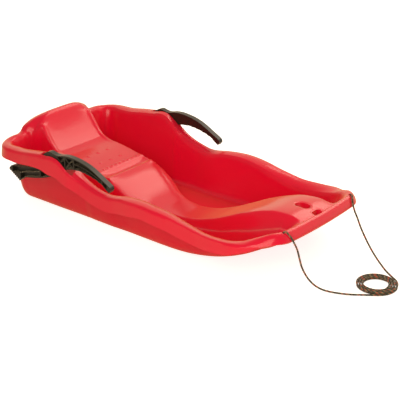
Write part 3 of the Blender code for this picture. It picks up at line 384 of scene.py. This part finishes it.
# hull: one thin moulding, drawn as lines from its rear end forward
hull = {
    "length": 0.970, "width": 0.490, "height": 0.2215, "wall": 0.003, "skirtFlare": 0.003, "frontSkirtTuck": 0.004,
    "rearCornerRadius": 0.068, "frontCornerLength": 0.125, "frontCornerWidth": 0.092, "frontCornerPower": 1.7,
    "frontBow": 0.016,
    "floorHalfWidth": 0.155, "floorRearGap": 0.048, "floorFrontGap": 0.072, "floorRearRadius": 0.045,
    "floorFrontRadius": 0.060,
    "rimCrown": 0.0034, "rimEdgeDrop": 0.003, "rimEdgeShare": 0.17, "rearRimRise": 0.004,
    "rearRiseAlong": (0.030, 0.090), "rearRiseAcross": (0.155, 0.215),
    "frontRoll": 0.018, "frontRollEnd": 0.2, "frontRollPower": 1.5, "frontSkirtDrop": 0.011,
    "rebateDepth": 0.006, "rebateStep": (0.16, 0.24), "toeStart": 0.600, "toeCurve": 1.05,
    # each line: distance from the rear, and the height, inset, width or share there
    "rimLine": (
        (0.000, 0.165), (0.091, 0.167), (0.158, 0.176), (0.200, 0.182), (0.238, 0.190), (0.258, 0.188),
        (0.285, 0.173), (0.300, 0.161), (0.348, 0.1375), (0.386, 0.125), (0.433, 0.117), (0.490, 0.1245),
        (0.557, 0.129), (0.623, 0.125), (0.690, 0.115), (0.766, 0.107), (0.832, 0.110), (0.874, 0.116),
        (0.900, 0.125), (0.925, 0.134), (0.945, 0.140), (0.970, 0.142),
    ),
    "sideLine": (
        (0.000, 0.003), (0.120, 0.002), (0.163, 0.000), (0.230, 0.001), (0.293, 0.004), (0.340, 0.014),
        (0.380, 0.015), (0.450, 0.015), (0.520, 0.009), (0.580, 0.007), (0.665, 0.013), (0.730, 0.014),
        (0.800, 0.010), (0.970, 0.011),
    ),
    "skirtLine": (
        (0.000, 0.030), (0.060, 0.030), (0.120, 0.034), (0.158, 0.035), (0.198, 0.040), (0.237, 0.057),
        (0.275, 0.056), (0.312, 0.045), (0.350, 0.044), (0.386, 0.043), (0.430, 0.041), (0.500, 0.039),
        (0.564, 0.034), (0.624, 0.037), (0.698, 0.038), (0.763, 0.036), (0.826, 0.032), (0.887, 0.018),
        (0.930, 0.012), (0.970, 0.016),
    ),
    "rimWidths": (
        (0.000, 0.025), (0.030, 0.026), (0.068, 0.037), (0.300, 0.037), (0.335, 0.027), (0.390, 0.026),
        (0.430, 0.031), (0.490, 0.035), (0.560, 0.037), (0.850, 0.037), (0.940, 0.021), (0.970, 0.020),
    ),
    "rimBanks": (
        (0.000, 0.0), (0.300, 0.0), (0.340, 0.005), (0.390, 0.005), (0.440, 0.004), (0.520, 0.0), (0.600, 0.002),
        (0.683, 0.007), (0.753, 0.011), (0.810, 0.011), (0.845, 0.009), (0.880, 0.006), (0.930, 0.0), (0.970, 0.0),
    ),
    "rebateLine": ((0.000, 0.0), (0.195, 0.0), (0.225, 1.0), (0.355, 1.0), (0.450, 0.0), (0.970, 0.0)),
    "spineLine": (
        (0.000, 0.1990), (0.004, 0.2045), (0.010, 0.2085), (0.020, 0.2140), (0.032, 0.2200), (0.040, 0.2215),
        (0.046, 0.2170), (0.053, 0.2040), (0.062, 0.1870), (0.078, 0.1610), (0.098, 0.1350), (0.115, 0.1210),
        (0.145, 0.1135), (0.185, 0.1115), (0.233, 0.1055), (0.262, 0.1006), (0.271, 0.0985), (0.279, 0.0905),
        (0.287, 0.0862), (0.296, 0.0872), (0.304, 0.0920), (0.311, 0.0957), (0.321, 0.0930), (0.345, 0.0830),
        (0.365, 0.0715), (0.395, 0.0550), (0.435, 0.0400), (0.475, 0.0315), (0.525, 0.0290), (0.575, 0.0350),
        (0.645, 0.0570), (0.705, 0.0850), (0.765, 0.1150), (0.825, 0.1390), (0.865, 0.1490), (0.900, 0.1515),
        (0.940, 0.1450), (0.952, 0.1390), (0.970, 0.1150),
    ),
    "spineHalfWidths": (
        (0.000, 0.132), (0.022, 0.130), (0.040, 0.125), (0.050, 0.118), (0.062, 0.108), (0.098, 0.106),
        (0.225, 0.102), (0.310, 0.099), (0.335, 0.104), (0.375, 0.103), (0.398, 0.097), (0.418, 0.086),
        (0.446, 0.071), (0.475, 0.061), (0.510, 0.055), (0.555, 0.054), (0.615, 0.057), (0.665, 0.062),
        (0.705, 0.067), (0.750, 0.072), (0.790, 0.078), (0.840, 0.082), (0.875, 0.084), (0.970, 0.088),
    ),
    "spineEdgeLifts": (
        (0.000, -0.024), (0.020, -0.034), (0.032, -0.060), (0.040, -0.072), (0.048, -0.050), (0.060, -0.003),
        (0.078, 0.005), (0.098, 0.006), (0.145, 0.003), (0.225, 0.001), (0.262, 0.001), (0.288, 0.016),
        (0.310, 0.000), (0.335, -0.010), (0.390, -0.011), (0.475, -0.002), (0.725, -0.003), (0.825, -0.009),
        (0.970, -0.006),
    ),
    "spineEdgeRolls": (
        (0.000, 0.014), (0.050, 0.014), (0.078, 0.010), (0.525, 0.010), (0.705, 0.011), (0.785, 0.014),
        (0.825, 0.018), (0.970, 0.022),
    ),
    "spineEdgePower": 4, "spineFade": 1.2, "creaseRoll": 0.0016,
    # ledge along the tunnel's foot: how much of it there is, its share of the tunnel's height, its width
    "ledgeLine": ((0.000, 0.0), (0.400, 0.0), (0.440, 1.0), (0.930, 1.0), (0.950, 0.0), (0.970, 0.0)),
    "ledgeShare": 0.45, "ledgeWidth": 0.004, "ledgeEdge": 0.3, "ledgeTread": 0.6,
    # raised border round the backrest: how much of it there is, its height, width and inset
    "borderLine": ((0.000, 0.0), (0.040, 0.0), (0.055, 1.0), (0.110, 1.0), (0.170, 0.0), (0.970, 0.0)),
    "borderHeight": 0.0034, "borderWidth": 0.0052, "borderInset": 1.6,
    # the tray's wall: share of the way in, and share of the way down
    "wallProfile": ((0.0, 0.0), (0.07, 0.035), (0.16, 0.14), (0.30, 0.50), (0.46, 0.84), (0.60, 0.95),
                    (0.78, 0.99), (1.0, 1.0)),
    # mesh density: rows to a distance from the rear, columns over the block's top, its side and the floor
    "rows": ((0.120, 24), (0.165, 14), (0.325, 72), (0.585, 40), (0.865, 42), (0.898, 18)), "topColumns": 34,
    "sideColumns": 20, "floorColumns": 12, "skirtRings": 5, "rimRings": 22, "wallRings": 24,
    "sideReach": 1.05, "floorSpread": 1.5, "rimSpread": 1.35, "wallSpread": 1.25,
    "ropeHolePoints": 32, "bossPoints": 40, "sharpAngle": 38, "smallSharpAngle": 40,
    # slots through the deck, the rope's holes and the bosses for the pins
    "longSlot": (0.043, 0.027), "longSlotFromFront": 0.071, "crossSlot": (0.0150, 0.032),
    "crossSlotFromFront": 0.0275, "slotRoll": 0.0016, "slotRollWidth": 0.0045, "collarDepth": 0.020,
    "ropeHole": 0.009, "ropeHoleSpread": 0.293, "ropeHoleFromFront": 0.024, "ropeHoleReach": 0.008,
    "bossDiameter": 0.016, "pinHole": 0.0066, "pinSocketDepth": 0.012,
    # grip dots: distance from the rear, place across, radius and height; a row of them along the front edge
    "dots": [(distance, place, 0.0064, 0.0021) for distance in (0.183, 0.2335) for place in (-0.0395, 0.0, 0.0395)]
            + [(0.2640, -0.0455 + 0.0175 * k, 0.0062, 0.0020) for k in range(8)],
    "dotFlat": 0.35,
}
deckSlots = ("longSlot", "crossSlot")
rear, front = -hull["length"] / 2, hull["length"] / 2
upStretch = hull["height"] / max(height for _, height in hull["spineLine"])


def hullLine(name, x):
    return through(hull[name], np.asarray(x, dtype=float) - rear)


def sideWidth(x):
    return hull["width"] / 2 - hull["skirtFlare"] - hullLine("sideLine", x)


def floorWidth(x):
    return np.full(np.shape(x), hull["floorHalfWidth"])


class Loop:
    # half of a closed outline round the tray: rear end, side and front end, with rounded corners
    def __init__(self, rearEnd, frontEnd, width, rearRadius, frontLength, frontWidth, power):
        self.rear, self.front, self.width, self.rearRadius = rearEnd, frontEnd, width, rearRadius
        self.frontLength, self.frontWidth, self.power = frontLength, frontWidth, power
        rearWidth = float(width(rearEnd + rearRadius))
        self.rearStart = rearWidth - rearRadius
        self.frontStart = float(width(frontEnd - frontLength)) - frontWidth
        share = 1 - math.sqrt(0.5)
        self.rearCorner = (rearEnd + rearRadius * share, rearWidth - rearRadius * share)
        share = 0.5 ** (1 / power)
        self.frontCorner = (frontEnd - frontLength * (1 - share), self.frontStart + frontWidth * share)

    def rearX(self, y):
        across = np.clip(np.asarray(y) - self.rearStart, 0.0, self.rearRadius)
        return self.rear + self.rearRadius - np.sqrt(self.rearRadius ** 2 - across ** 2)

    def frontX(self, y):
        across = np.clip((np.asarray(y) - self.frontStart) / self.frontWidth, 0.0, 1.0)
        return self.front - self.frontLength * (1 - (1 - across ** self.power) ** (1 / self.power))

    def sideY(self, x):
        behind = np.clip(self.rear + self.rearRadius - x, 0.0, self.rearRadius)
        ahead = np.clip((x - self.front + self.frontLength) / self.frontLength, 0.0, 1.0)
        rounded = (1 - ahead ** self.power) ** (1 / self.power)
        return (self.width(x) - self.rearRadius + np.sqrt(self.rearRadius ** 2 - behind ** 2)
                - self.frontWidth * (1 - rounded))


rimLoop = Loop(rear + hull["skirtFlare"], front, sideWidth, hull["rearCornerRadius"], hull["frontCornerLength"],
               hull["frontCornerWidth"], hull["frontCornerPower"])
floorLoop = Loop(rear + hull["floorRearGap"], front - hull["floorFrontGap"], floorWidth, hull["floorRearRadius"],
                 hull["floorFrontRadius"], hull["floorFrontRadius"], hull["frontCornerPower"])


def bowed(x, y):
    reach = 2 * hull["frontCornerLength"]
    share = np.clip((np.asarray(x) - front + reach) / reach, 0.0, 1.0)
    return x - hull["frontBow"] * share * (np.asarray(y) / (hull["width"] / 2)) ** 2


def columnPlaces(x, outer):
    # places from the middle to the outer end of a row, close together over the block's side
    half, roll, ledge = (float(hullLine(name, x)) for name in ("spineHalfWidths", "spineEdgeRolls", "ledgeLine"))
    inner = half - roll
    sideEnd = inner + (1 + hull["spineFade"]) * roll * hull["sideReach"] + hull["ledgeWidth"] * ledge
    top = np.linspace(0.0, inner, hull["topColumns"] + 1)
    side = np.linspace(inner, sideEnd, hull["sideColumns"] + 1)[1:]
    share = np.linspace(0.0, 1.0, hull["floorColumns"] + 1)[1:]
    return np.concatenate((top, side, sideEnd + (outer - sideEnd) * (1 - (1 - share) ** hull["floorSpread"])))


def relief(x, y, half, roll):
    # low grip dots on the seat, the backrest's raised border and the rolled edges of the deck's slots
    height = np.zeros(np.shape(x))
    for distance, place, radius, rise in hull["dots"]:
        height += rise * (1 - smoothStep(np.hypot(x - rear - distance, y - place) / radius, hull["dotFlat"], 1.0))
    offBorder = (np.abs(y) - half + hull["borderInset"] * roll) / hull["borderWidth"]
    height += hull["borderHeight"] * hullLine("borderLine", x) * np.exp(-offBorder ** 2)
    for name in deckSlots:
        radius = min(hull[name]) / 2
        ahead = np.maximum(np.abs(x - front + hull[name + "FromFront"]) - hull[name][0] / 2 + radius, 0.0)
        beside = np.maximum(np.abs(y) - hull[name][1] / 2 + radius, 0.0)
        off = np.hypot(ahead, beside) - radius
        height -= hull["slotRoll"] * (1 - smoothStep(off, 0.0, hull["slotRollWidth"]))
    return height


def withSpine(x, y, tray):
    # the tray with the backrest, seat, tunnel and deck standing out of it, and a ledge along the tunnel's foot
    half, roll = hullLine("spineHalfWidths", x), hullLine("spineEdgeRolls", x)
    across = np.minimum(np.abs(y) / half, 1.0)
    edgeLift = hullLine("spineEdgeLifts", x) * across ** hull["spineEdgePower"]
    height = (hullLine("spineLine", x) + edgeLift) * upStretch
    foot = half + hull["spineFade"] * roll
    plain = 1 - smoothStep(np.abs(y), half - roll, foot)
    edge = half + hull["ledgeEdge"] * roll
    upper = 1 - smoothStep(np.abs(y), half - roll, edge)
    lower = 1 - smoothStep(np.abs(y), edge + hull["ledgeWidth"] * hull["ledgeTread"], foot + hull["ledgeWidth"])
    ledge = hullLine("ledgeLine", x)
    stepped = upper * (1 - hull["ledgeShare"]) + lower * hull["ledgeShare"]
    weight = plain * (1 - ledge) + stepped * ledge
    # a rounded crease where the block leaves the tray
    above = height - tray
    above = (above + np.sqrt(above ** 2 + hull["creaseRoll"] ** 2)) / 2
    return tray + above * weight + relief(x, y, half, roll)


def floorHeight(x):
    return hull["wall"] + hull["toeCurve"] * np.maximum(0.0, np.asarray(x) - rear - hull["toeStart"]) ** 2


def rimHeight(x, y):
    atRear = 1 - smoothStep(x, rear + hull["rearRiseAlong"][0], rear + hull["rearRiseAlong"][1])
    beside = 1 - smoothStep(np.abs(y), *hull["rearRiseAcross"])
    return hullLine("rimLine", x) * upStretch + hull["rearRimRise"] * atRear * beside


def hullRows():
    places = [floorLoop.rear]
    for reach, count in hull["rows"]:
        places += list(np.linspace(places[-1], rear + reach, count + 1)[1:])
    places[-1] = floorLoop.front
    return np.array(places)


def halfLoop(loop, rows):
    # points along a loop from the middle of its rear end to the middle of its front end
    rearY = columnPlaces(loop.rear, loop.rearCorner[1])
    frontY = columnPlaces(loop.front, loop.frontCorner[1])
    share = (rows - rows[0]) / (rows[-1] - rows[0])
    sideX = loop.rearCorner[0] + share * (loop.frontCorner[0] - loop.rearCorner[0])
    rearPart = np.column_stack((loop.rearX(rearY), rearY))
    sidePart = np.column_stack((sideX, loop.sideY(sideX)))
    frontPart = np.column_stack((loop.frontX(frontY), frontY))[::-1]
    points = np.vstack((rearPart, sidePart[1:-1], frontPart))
    points[:, 0] = bowed(points[:, 0], points[:, 1])
    return points


def hullRings(rows):
    # rings from the skirt's lower edge over the rim and down the wall to the floor, on the left half
    outer, inner = halfLoop(rimLoop, rows), halfLoop(floorLoop, rows)
    span = np.linalg.norm(inner - outer, axis=1)
    inward = (inner - outer) / span[:, None]
    x, y = outer.T
    toFront = smoothStep(x, front - hull["frontCornerLength"],
                         front - hull["frontRollEnd"] * hull["frontCornerLength"])
    width, bank = hullLine("rimWidths", x), hullLine("rimBanks", x)
    height = rimHeight(x, y)
    rebate = hull["rebateDepth"] * hullLine("rebateLine", x)
    rim = []
    for share in np.linspace(0.0, 1.0, hull["rimRings"]):
        step = share ** hull["rimSpread"]
        place = outer + inward * (width * step)[:, None]
        drop = hull["rimEdgeDrop"] * (1 - min(step / hull["rimEdgeShare"], 1.0)) ** 2 + bank * step
        drop = drop + hull["frontRoll"] * toFront * (1 - step) ** hull["frontRollPower"]
        low = 1 - float(smoothStep(step, *hull["rebateStep"]))
        tray = height + hull["rimCrown"] * math.sin(math.pi * step) - drop - rebate * low
        rim.append(np.column_stack((place, withSpine(place[:, 0], place[:, 1], tray))))
    crease = rim[0]
    lower = height - hullLine("skirtLine", x) * upStretch - hull["frontSkirtDrop"] * toFront
    flare = hull["skirtFlare"] - (hull["skirtFlare"] + hull["frontSkirtTuck"]) * toFront
    skirt = []
    for share in np.linspace(1.0, 0.0, hull["skirtRings"] + 1)[:-1]:
        place = outer - inward * (flare * share)[:, None]
        skirt.append(np.column_stack((place, crease[:, 2] + (lower - crease[:, 2]) * share)))
    wall = []
    for share in np.linspace(0.0, 1.0, hull["wallRings"] + 1)[1:]:
        along = share ** hull["wallSpread"]
        down = float(through(hull["wallProfile"], along))
        place = outer + inward * (width + (span - width) * along)[:, None]
        tray = height - bank + (floorHeight(inner[:, 0]) - height + bank) * down
        wall.append(np.column_stack((place, withSpine(place[:, 0], place[:, 1], tray))))
    return skirt + rim + wall


def hullFloor(rows):
    # the floor inside the last ring: rows along X, columns from the middle to the left side
    last, columns = len(rows) - 1, len(columnPlaces(0.0, 1.0))
    edge = halfLoop(floorLoop, rows)
    rearEdge, frontEdge = edge[:columns], edge[-columns:][::-1]
    side = np.vstack((rearEdge[-1:], edge[columns:columns + last - 1], frontEdge[-1:]))
    rearBend = (rearEdge[:, 0] - rearEdge[0, 0]) / (rearEdge[-1, 0] - rearEdge[0, 0])
    frontBend = (frontEdge[:, 0] - frontEdge[0, 0]) / (frontEdge[-1, 0] - frontEdge[0, 0])
    grid = np.zeros((last + 1, columns, 3))
    for i, middle in enumerate(rows):
        share = i / last
        x = middle + (side[i, 0] - middle) * (rearBend * (1 - share) + frontBend * share)
        y = columnPlaces(middle, side[i, 1])
        if i in (0, last):
            x, y = (rearEdge if i == 0 else frontEdge).T
        grid[i] = np.column_stack((x, y, withSpine(x, y, floorHeight(x))))
    return grid


def hullSheet():
    # the whole surface: rings mirrored to the right half, and the floor grid closed onto the last ring
    rows = hullRows()
    mirror = np.array((1, -1, 1))
    rings = [np.vstack((half, half[-2:0:-1] * mirror)) for half in hullRings(rows)]
    grid = hullFloor(rows)
    lastRow, columns = grid.shape[0] - 1, grid.shape[1]
    count = len(rings[0])
    points = [tuple(point) for ring in rings for point in ring]
    faces = []
    for level in range(len(rings) - 1):
        base = level * count
        for j in range(count):
            k = (j + 1) % count
            faces.append((base + j, base + k, base + count + k, base + count + j))
    lastBase = (len(rings) - 1) * count
    halfCount = columns + (lastRow - 1) + columns
    cells = {}
    for i in range(lastRow + 1):
        for c in range(1 - columns, columns):
            if i in (0, lastRow) or abs(c) == columns - 1:
                ahead = {0: abs(c), lastRow: halfCount - 1 - abs(c)}.get(i, columns - 1 + i)
                cells[i, c] = lastBase + (ahead if c >= 0 else (count - ahead) % count)
            else:
                cells[i, c] = len(points)
                x, y, z = grid[i, abs(c)]
                points.append((x, math.copysign(y, c), z))
    for i in range(lastRow):
        for c in range(1 - columns, columns - 1):
            faces.append((cells[i, c], cells[i, c + 1], cells[i + 1, c + 1], cells[i + 1, c]))
    data = bpy.data.meshes.new("hullShell")
    data.from_pydata(points, [], faces)
    data.flip_normals()
    data.update()
    return data


def polyethylene():
    # rotation- or blow-moulded polyethylene: waxy, glossy red with a faint orange peel
    material, tree, shader = newMaterial("moulded polyethylene, glossy red")
    place, clouds = mottled(tree, shader, 9.0, 3.0, ("#EB0636", "#EF0A3A"))
    gloss = addNode(tree, "ShaderNodeMapRange",
                    {"From Min": 0.3, "From Max": 0.7, "To Min": 0.17, "To Max": 0.23}, {"Value": clouds})
    tree.links.new(gloss.outputs[0], shader.inputs["Roughness"])
    peel = addNode(tree, "ShaderNodeTexNoise", {"Scale": 420.0, "Detail": 2.0}, {"Vector": place})
    addBump(tree, shader, peel.outputs[0], 0.04, 0.0003)
    shader.inputs["IOR"].default_value = 1.51
    shader.inputs["Sheen Weight"].default_value = 0.90
    shader.inputs["Sheen Roughness"].default_value = 0.40
    shader.inputs["Sheen Tint"].default_value = linear("#FFB080")
    return material


def stadium(size, cornerPoints=12):
    # outline of a slot with round ends, longer along or across
    longWay, shortWay = max(size), min(size)
    radius, reach = shortWay / 2, (longWay - shortWay) / 2
    points = []
    for end in (1, -1):
        for k in range(cornerPoints + 1):
            angle = -math.pi / 2 + math.pi * k / cornerPoints
            a, b = end * (reach + radius * math.cos(angle)), end * radius * math.sin(angle)
            points.append((a, b) if size[0] >= size[1] else (-b, a))
    return points


def cutSheet(sheet, cutter):
    # openings in the thin sheet: what the cutter's own faces leave behind is taken out again
    mark = bpy.data.materials.new("cutFace")
    cutter.data.materials.clear()
    cutter.data.materials.append(mark)
    modifier = sheet.modifiers.new("openings", "BOOLEAN")
    modifier.operation = "DIFFERENCE"
    modifier.object = cutter
    modifier.solver = "EXACT"
    modifier.use_hole_tolerant = True
    modifier.material_mode = "TRANSFER"
    settle(sheet)
    bpy.data.objects.remove(cutter, do_unlink=True)
    marked = [i for i, material in enumerate(sheet.data.materials) if material == mark]
    mesh = bmesh.new()
    mesh.from_mesh(sheet.data)
    bmesh.ops.delete(mesh, geom=[face for face in mesh.faces if face.material_index in marked], context="FACES")
    mesh.to_mesh(sheet.data)
    mesh.free()
    for i in reversed(marked):
        sheet.data.materials.pop(index=i)
    bpy.data.materials.remove(mark)


def buildBoss(side, pin, inside, tree, material):
    # round boss from the tray's wall to the lever, with a blind hole for the pin
    mesh = bmesh.new()
    count, bossEnd = hull["bossPoints"], inside - brake["bossToLever"]
    outer, bore = (circle(hull[name] / 2, count, (pin[0], pin[2])) for name in ("bossDiameter", "pinHole"))
    foot = [tree.ray_cast(Vector((a, side * inside, b)), Vector((0, -side, 0)))[0].y + side * hull["wall"] / 2
            for a, b in outer]
    loops = [[mesh.verts.new((a, y, b)) for (a, b), y in zip(outer, foot)]]
    for outline, y in ((outer, bossEnd), (bore, bossEnd), (bore, bossEnd - hull["pinSocketDepth"])):
        loops.append([mesh.verts.new((a, side * y, b)) for a, b in outline])
    joinLoops(mesh, loops)
    mesh.faces.new(loops[-1])
    middle = mesh.verts.new((pin[0], sum(foot) / count, pin[2]))
    for i in range(count):
        mesh.faces.new((loops[0][i], loops[0][(i + 1) % count], middle))
    boss = newPiece(f"pivotBoss{'Left' if side > 0 else 'Right'}", meshFrom("pivotBoss", mesh), material)
    shadeSmooth(boss.data, hull["smallSharpAngle"])
    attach(boss, "sled")


def surfaceAt(tree, x, y):
    return tree.ray_cast(Vector((x, y, hull["height"])), Vector((0, 0, -1)))[0]


def buildCollar(name, tree, material):
    # collar moulded down from a deck slot's edge: it starts inside the thickness of the deck
    mesh = bmesh.new()
    middle = front - hull[name + "FromFront"]
    top, bottom = hull["wall"] / 2, hull["collarDepth"]
    loops = []
    for margin, down in ((hull["wall"], top), (hull["wall"], bottom), (brake["gap"], bottom), (brake["gap"], top)):
        outline = stadium([length + 2 * margin for length in hull[name]])
        loops.append([mesh.verts.new((middle + a, b, surfaceAt(tree, middle + a, b).z - down))
                      for a, b in outline])
    joinLoops(mesh, loops + loops[:1])
    collar = newPiece(name + "Collar", meshFrom(name + "Collar", mesh), material)
    shadeSmooth(collar.data, hull["smallSharpAngle"])
    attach(collar, "sled")


def hullCuts(tree, pin, inside, outside):
    # the levers' slots in the rim, the rope's holes and the slots through the deck
    cuts = bmesh.new()
    slotFloor = pin[2] - hull["bossDiameter"] / 4
    ends = (pin[0] - brake["slotBehindPivot"], pin[0] + brake["slotAheadOfPivot"])
    places = np.linspace(*ends, brake["slotPoints"])
    outer = np.minimum(sideWidth(places) - hull["wall"] + brake["gap"], outside + brake["slotToLever"])
    inner = inside - brake["slotToLever"]
    lean = Matrix.Rotation(math.radians(rope["holeLean"]), 3, "Y")
    for side in (1, -1):
        outline = [(ends[0], side * inner), *((a, side * b) for a, b in zip(places, outer)),
                   (ends[1], side * inner)]
        addPrism(cuts, outline, slotFloor, hull["height"])
        hole = surfaceAt(tree, front - hull["ropeHoleFromFront"], side * hull["ropeHoleSpread"] / 2)
        addPrism(cuts, circle(hull["ropeHole"] / 2, hull["ropeHolePoints"]), -hull["ropeHoleReach"],
                 hull["ropeHoleReach"], lambda a, b, c: hole + lean @ Vector((a, b, c)))
    for name in deckSlots:
        middle = front - hull[name + "FromFront"]
        addPrism(cuts, [(middle + a, b) for a, b in stadium(hull[name])], hull["height"] / 2, hull["height"])
    return meshFrom("hullCuts", cuts)


def buildHull():
    plastic = polyethylene()
    shell = newPiece("hullShell", hullSheet(), plastic)
    bpy.context.view_layer.update()
    tree = BVHTree.FromObject(shell, bpy.context.evaluated_depsgraph_get())

    pin = middleOf("pivot_pin_left")
    inside, outside = (corner[1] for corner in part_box("brake_lever_left"))
    cutSheet(shell, newPiece("hullCuts", hullCuts(tree, pin, inside, outside), plastic))
    wall = shell.modifiers.new("wall", "SOLIDIFY")
    wall.thickness = hull["wall"]
    wall.offset = -1.0
    settle(shell)
    for side in (1, -1):
        buildBoss(side, pin, inside, tree, plastic)
    for name in deckSlots:
        buildCollar(name, tree, plastic)
    shadeSmooth(shell.data, hull["sharpAngle"])
    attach(shell, "sled")
    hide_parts("hull")
    print(f"hull {len(shell.data.polygons)} faces")


# brakes: black polypropylene levers on steel pins
brake = {
    "slotBehindPivot": 0.040, "slotAheadOfPivot": 0.076, "slotToLever": 0.0015, "slotPoints": 25,
    "bossToLever": 0.0005, "gap": 0.0003,
    # width of the rounded edges of each kind of piece, and the least angle that is rounded
    "edges": {"brake_lever": 0.0006, "pivot_pin": 0.0004, "pin_clip": 0.0002}, "edgeAngle": 40,
}


def polypropylene():
    # injection-moulded polypropylene, black with a fine spark-eroded grain
    material, tree, shader = newMaterial("moulded polypropylene, black")
    _, grain = mottled(tree, shader, 1600.0, 2.0, ("#181610", "#211E17"))
    addBump(tree, shader, grain, 0.15, 0.0001)
    shader.inputs["Roughness"].default_value = 0.42
    shader.inputs["Sheen Weight"].default_value = 0.75
    shader.inputs["Sheen Roughness"].default_value = 0.35
    shader.inputs["Sheen Tint"].default_value = linear("#D8C8A8")
    return material


def zincSteel():
    # zinc-plated steel: bright, slightly cloudy metal
    material, tree, shader = newMaterial("zinc plated steel")
    mottled(tree, shader, 700.0, 3.0, ("#B4B6B8", "#C8CACC"))
    shader.inputs["Metallic"].default_value = 1.0
    shader.inputs["Roughness"].default_value = 0.32
    return material


def dressBrakes(b):
    plastic, steel = polypropylene(), zincSteel()
    for side in ("left", "right"):
        for kind, width in b["edges"].items():
            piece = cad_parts[f"{kind}_{side}"]
            for slot in piece.material_slots:
                slot.material = plastic if kind == "brake_lever" else steel
            edge = piece.modifiers.new("edge", "BEVEL")
            edge.width = width
            edge.segments = 2
            edge.limit_method = "ANGLE"
            edge.angle_limit = math.radians(b["edgeAngle"])


buildHull()
dressBrakes(brake)
print("brakes dressed")


# studio: white floor and backdrop, a key softbox on the far side and a fill softbox on the near side
studio = {
    "floorSize": 12.0, "floorDrop": 0.0004, "floorLift": 0.80,
    # softboxes: name, place, size and power
    "lights": (("keySoftbox", (0.25, 1.30, 1.70), 1.5, 19.5), ("fillSoftbox", (1.10, -1.60, 0.90), 1.4, 18.0)),
    "lightColour": "#FFF0DC", "skyStrength": 0.46, "paper": "#F7EEDD",
    # what gloss mirrors: a bright warm backdrop on the far side, a dim room above and on the near side
    "mirroredNear": 0.22, "mirroredFar": 1.0, "mirroredFade": (-0.15, 0.50), "mirroredColour": "#FFF0DC",
}


def buildStudio(s):
    floorMesh = bmesh.new()
    bmesh.ops.create_grid(floorMesh, x_segments=1, y_segments=1, size=s["floorSize"] / 2)
    floorData = bpy.data.meshes.new("studioFloor")
    floorMesh.to_mesh(floorData)
    floorMesh.free()
    paper, tree, shader = newMaterial("matt white backdrop paper")
    shader.inputs["Base Color"].default_value = linear(s["paper"])
    shader.inputs["Roughness"].default_value = 0.9
    shader.inputs["Specular IOR Level"].default_value = 0.1
    rays = addNode(tree, "ShaderNodeLightPath")
    shader.inputs["Emission Color"].default_value = linear("#FFFFFF")
    lift = addNode(tree, "ShaderNodeMath", {"operation": "MULTIPLY", 1: s["floorLift"]},
                   {0: rays.outputs["Is Camera Ray"]})
    tree.links.new(lift.outputs[0], shader.inputs["Emission Strength"])
    floor = newPiece("studioFloor", floorData, paper)
    floor.location.z = -s["floorDrop"]

    for name, place, size, power in s["lights"]:
        light = bpy.data.lights.new(name, "AREA")
        light.size = size
        light.energy = power
        light.color = linear(s["lightColour"])[:3]
        softbox = bpy.data.objects.new(name, light)
        softbox.location = place
        softbox.rotation_euler = Vector(place).to_track_quat("Z", "Y").to_euler()
        scene.collection.objects.link(softbox)

    world = bpy.data.worlds.new("studioRoom")
    world.use_nodes = True
    scene.world = world
    tree = world.node_tree
    tree.nodes.clear()
    rays = addNode(tree, "ShaderNodeLightPath")
    way = addNode(tree, "ShaderNodeTexCoord")
    across = addNode(tree, "ShaderNodeSeparateXYZ", links={0: way.outputs["Generated"]})
    mirrored = addNode(tree, "ShaderNodeMapRange",
                       {"interpolation_type": "SMOOTHSTEP", "From Min": s["mirroredFade"][0],
                        "From Max": s["mirroredFade"][1], "To Min": s["mirroredNear"], "To Max": s["mirroredFar"]},
                       {"Value": across.outputs[1]})
    lit = addNode(tree, "ShaderNodeMix", {"data_type": "FLOAT", 2: s["skyStrength"]},
                  {0: rays.outputs["Is Glossy Ray"], 3: mirrored.outputs[0]})
    level = addNode(tree, "ShaderNodeMix", {"data_type": "FLOAT", 3: 1.0},
                    {0: rays.outputs["Is Camera Ray"], 2: lit.outputs[0]})
    tint = addNode(tree, "ShaderNodeMix",
                   {"data_type": "RGBA", 6: linear(s["mirroredColour"]), 7: linear("#FFFFFF")},
                   {0: rays.outputs["Is Camera Ray"]})
    sky = addNode(tree, "ShaderNodeBackground", links={"Color": tint.outputs[2], "Strength": level.outputs[0]})
    addNode(tree, "ShaderNodeOutputWorld", links={"Surface": sky.outputs[0]})


buildStudio(studio)
print("studio lit")
